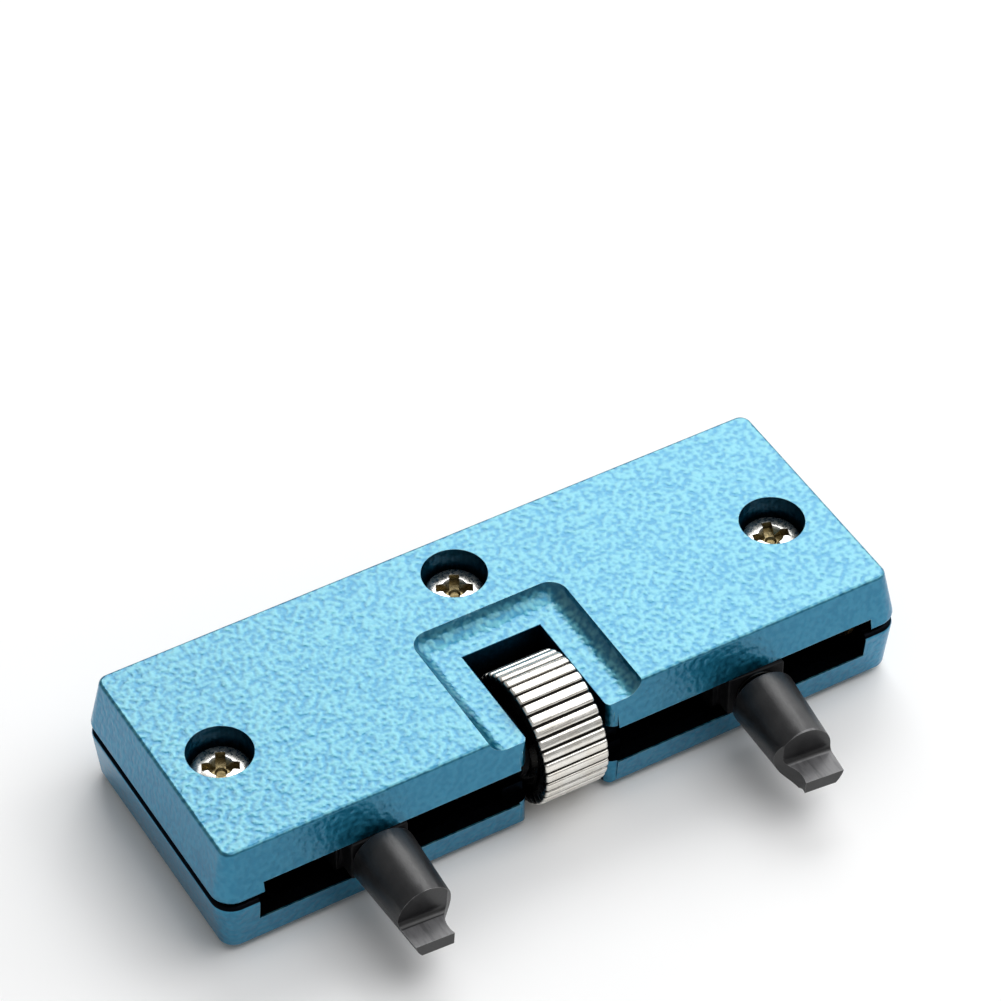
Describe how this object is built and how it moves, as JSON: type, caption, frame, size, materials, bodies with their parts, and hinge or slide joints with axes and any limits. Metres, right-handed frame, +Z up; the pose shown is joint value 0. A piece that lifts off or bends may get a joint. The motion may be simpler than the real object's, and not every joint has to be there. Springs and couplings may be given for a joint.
{
  "type": "case back opener",
  "caption": "Flat two-shell watch case opener with a thumb wheel that spreads a pair of flat-blade bits along a slot in its front edge.",
  "frame": {"origin": "middle of the footprint, at the height of the lowest point, which is the bottom of the thumb wheel", "axes": "+X along the case and the lead screw, +Y from the bits towards the rear edge, +Z up through the face with the screws"},
  "size_m": [0.0618, 0.034, 0.0112],
  "materials": {
    "case_paint": "sky-blue metallic hammer-tone paint, fine mottled grain, edges worn a little brighter",
    "screw_zinc": "bright zinc plated, slightly yellow in the recess",
    "wheel_nickel": "bright nickel plated, machined ridges",
    "spindle_steel": "plain turned steel, oiled",
    "brass": "oil-soaked sintered bronze, dark brown",
    "carriage_steel": "black oxide",
    "bit_oxide": "hardened steel, satin black oxide, ground blade"
  },
  "bodies": {
    "case": {"top_shell": "case_paint", "bottom_shell": "case_paint", "case_screw_left": "screw_zinc", "case_screw_right": "screw_zinc", "case_screw_rear": "screw_zinc", "bush_left": "brass", "bush_right": "brass"},
    "spindle": {"lead_screw": "spindle_steel", "thumb_wheel": "wheel_nickel", "wheel_set_screw": "spindle_steel", "thrust_washer_left": "carriage_steel", "thrust_washer_right": "carriage_steel"},
    "left_jaw": {"carriage_left": "carriage_steel", "bit_left": "bit_oxide", "bit_shim_left": "wheel_nickel"},
    "right_jaw": {"carriage_right": "carriage_steel", "bit_right": "bit_oxide", "bit_shim_right": "wheel_nickel"}
  },
  "joints": [
    {"name": "wheel_spin", "type": "hinge", "parent": "case", "child": "spindle", "pos_m": [0, -0.00194, 0.0056], "axis": [1, 0, 0], "range_deg": [-5765, 4685]},
    {"name": "left_jaw_slide", "type": "slide", "parent": "case", "child": "left_jaw", "axis": [-1, 0, 0], "range_m": [-0.008, 0.0065]},
    {"name": "right_jaw_slide", "type": "slide", "parent": "case", "child": "right_jaw", "axis": [1, 0, 0], "range_m": [-0.008, 0.0065]}
  ],
  "couplings": [
    {"joint": "wheel_spin", "follows": "left_jaw_slide", "rad_per_m": 12566},
    {"joint": "right_jaw_slide", "follows": "left_jaw_slide", "ratio": 1}
  ]
}
